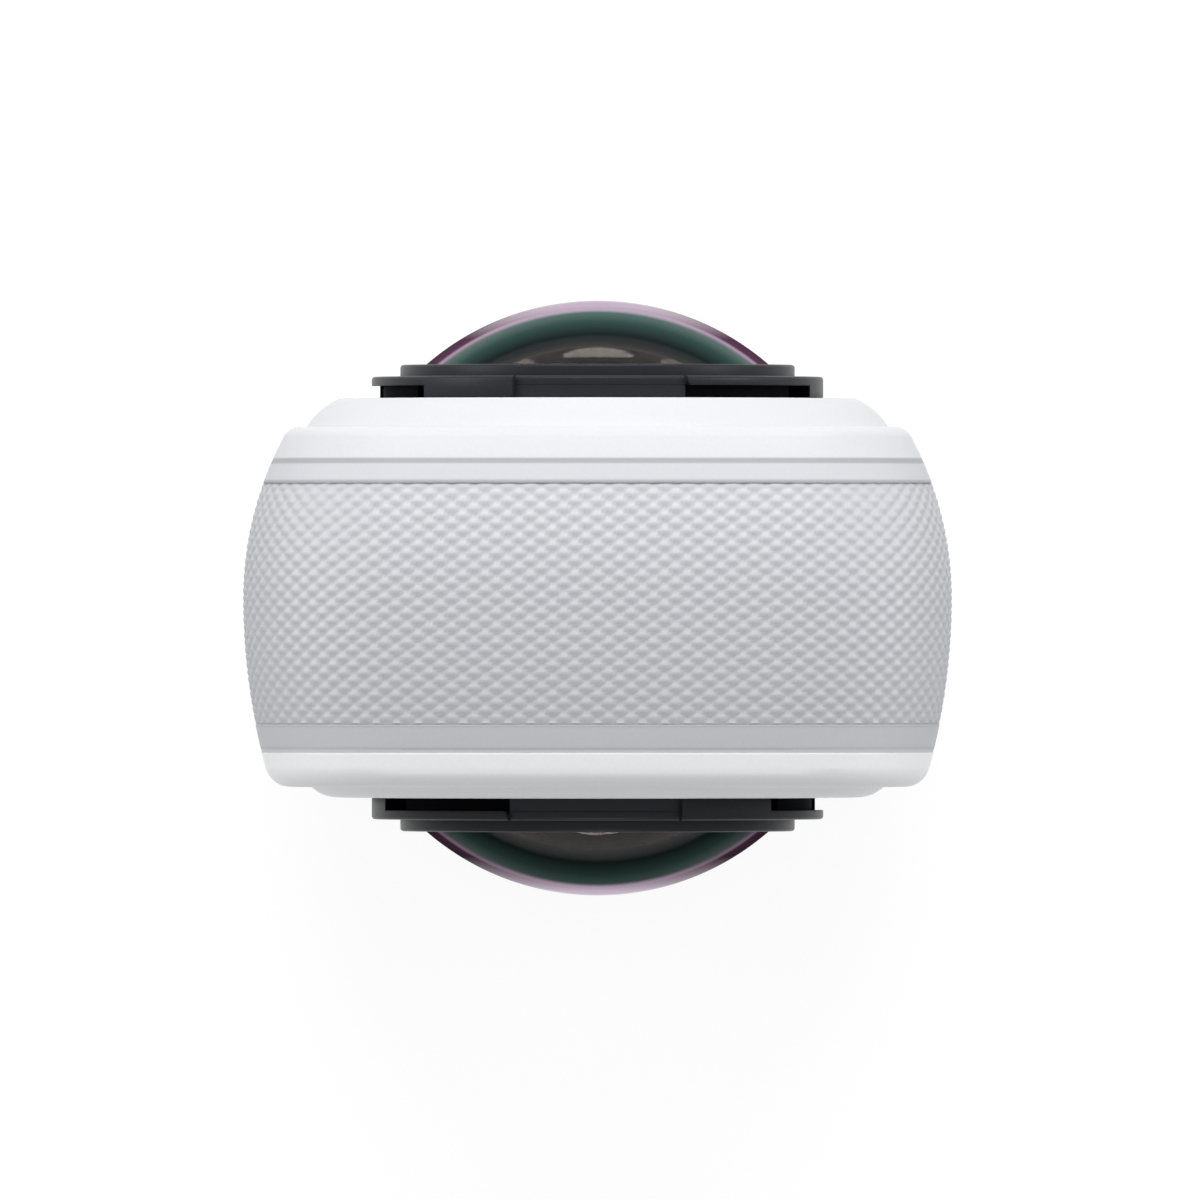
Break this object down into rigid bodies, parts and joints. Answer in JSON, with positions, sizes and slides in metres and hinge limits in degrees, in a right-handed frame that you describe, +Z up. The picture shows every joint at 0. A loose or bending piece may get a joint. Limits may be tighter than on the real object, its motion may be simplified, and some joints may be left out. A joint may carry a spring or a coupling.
{
  "type": "360 degree camera",
  "caption": "Tall handheld 360 degree camera with fisheye lenses back to back, a rear touch screen, a slide-out side battery, a port door and a tripod socket.",
  "frame": {"origin": "middle of the base plate's underside, which the camera stands on", "axes": "+Z up along the tall body, +Y out of the front lens, the screen faces -Y, X across the body"},
  "size_m": [0.0463, 0.0388, 0.1245],
  "materials": {
    "white_shell": "satin",
    "white_grip": "knurled matte",
    "black_ring": "satin",
    "dome_glass": "coated, polished",
    "inner_glass": "coated, polished",
    "black_plastic": "matte",
    "seal_rubber": "matte",
    "circuit_board": "solder mask",
    "alloy": "blasted",
    "steel": "brushed",
    "screen_glass": "polished",
    "display": "polished",
    "battery_wrap": "matte",
    "light_grey_button": "satin",
    "dark_button": "satin",
    "light_pipe": "milky"
  },
  "bodies": {
    "camera": {"antenna": "circuit_board", "base_plate": "black_plastic", "base_screws": "steel", "battery_contacts": "black_plastic", "board_screws": "steel", "bracket_screws": "steel", "card_socket": "black_plastic", "display_panel": "display", "front_bayonet_ring": "black_ring", "front_cover": "white_shell", "front_cover_gasket": "seal_rubber", "front_dome_lens": "dome_glass", "front_inner_lens": "inner_glass", "front_lens_barrel": "black_plastic", "front_lens_seal": "seal_rubber", "front_light": "light_pipe", "front_relay_lens": "inner_glass", "front_sensor_board": "circuit_board", "grip_band": "white_grip", "grip_band_lower_left": "white_grip", "grip_band_lower_right": "white_grip", "heat_spreader": "alloy", "lens_bracket": "alloy", "main_board": "circuit_board", "mic_meshes": "steel", "microphones": "black_plastic", "mid_frame": "white_shell", "rear_bayonet_ring": "black_ring", "rear_button_board": "circuit_board", "rear_cover": "white_shell", "rear_cover_gasket": "seal_rubber", "rear_dome_lens": "dome_glass", "rear_inner_lens": "inner_glass", "rear_lens_barrel": "black_plastic", "rear_lens_seal": "seal_rubber", "rear_light": "light_pipe", "rear_relay_lens": "inner_glass", "rear_sensor_board": "circuit_board", "rear_switches": "steel", "sensor_flexes": "circuit_board", "shield_can": "steel", "side_board": "circuit_board", "side_switches": "steel", "speaker": "black_plastic", "touch_glass": "screen_glass", "tripod_bushing": "steel", "usb_hinge_pin": "steel", "usb_socket": "steel"},
    "battery": {"battery_door": "white_grip", "battery_pack": "battery_wrap", "battery_seal": "seal_rubber"},
    "battery_latch_lower": {"battery_latch_lower": "light_grey_button"},
    "battery_latch_upper": {"battery_latch_upper": "light_grey_button"},
    "usb_door": {"usb_door": "white_grip", "usb_door_seal": "seal_rubber"},
    "power_button": {"power_button": "light_grey_button"},
    "quick_button": {"quick_button": "light_grey_button"},
    "shutter_button": {"shutter_button": "dark_button"},
    "lens_switch_button": {"lens_switch_button": "dark_button"}
  },
  "joints": [
    {"name": "battery_slide", "type": "slide", "parent": "camera", "child": "battery", "axis": [-1, 0, 0], "range_m": [0, 0.034]},
    {"name": "battery_latch_lower_slide", "type": "slide", "parent": "battery", "child": "battery_latch_lower", "axis": [0, 0, 1], "range_m": [0, 0.002], "stiffness_N_per_m": 200},
    {"name": "battery_latch_upper_slide", "type": "slide", "parent": "battery", "child": "battery_latch_upper", "axis": [0, 0, -1], "range_m": [0, 0.002], "stiffness_N_per_m": 200},
    {"name": "usb_door_hinge", "type": "hinge", "parent": "camera", "child": "usb_door", "pos_m": [0.02175, 0, 0.0407], "axis": [0, 1, 0], "range_deg": [0, 90]},
    {"name": "power_button_press", "type": "slide", "parent": "camera", "child": "power_button", "axis": [-1, 0, 0], "range_m": [0, 0.00035], "stiffness_N_per_m": 1500},
    {"name": "quick_button_press", "type": "slide", "parent": "camera", "child": "quick_button", "axis": [-1, 0, 0], "range_m": [0, 0.00035], "stiffness_N_per_m": 1500},
    {"name": "shutter_button_press", "type": "slide", "parent": "camera", "child": "shutter_button", "axis": [0, 1, 0], "range_m": [0, 0.00035], "stiffness_N_per_m": 1500},
    {"name": "lens_switch_button_press", "type": "slide", "parent": "camera", "child": "lens_switch_button", "axis": [0, 1, 0], "range_m": [0, 0.00035], "stiffness_N_per_m": 1500}
  ]
}
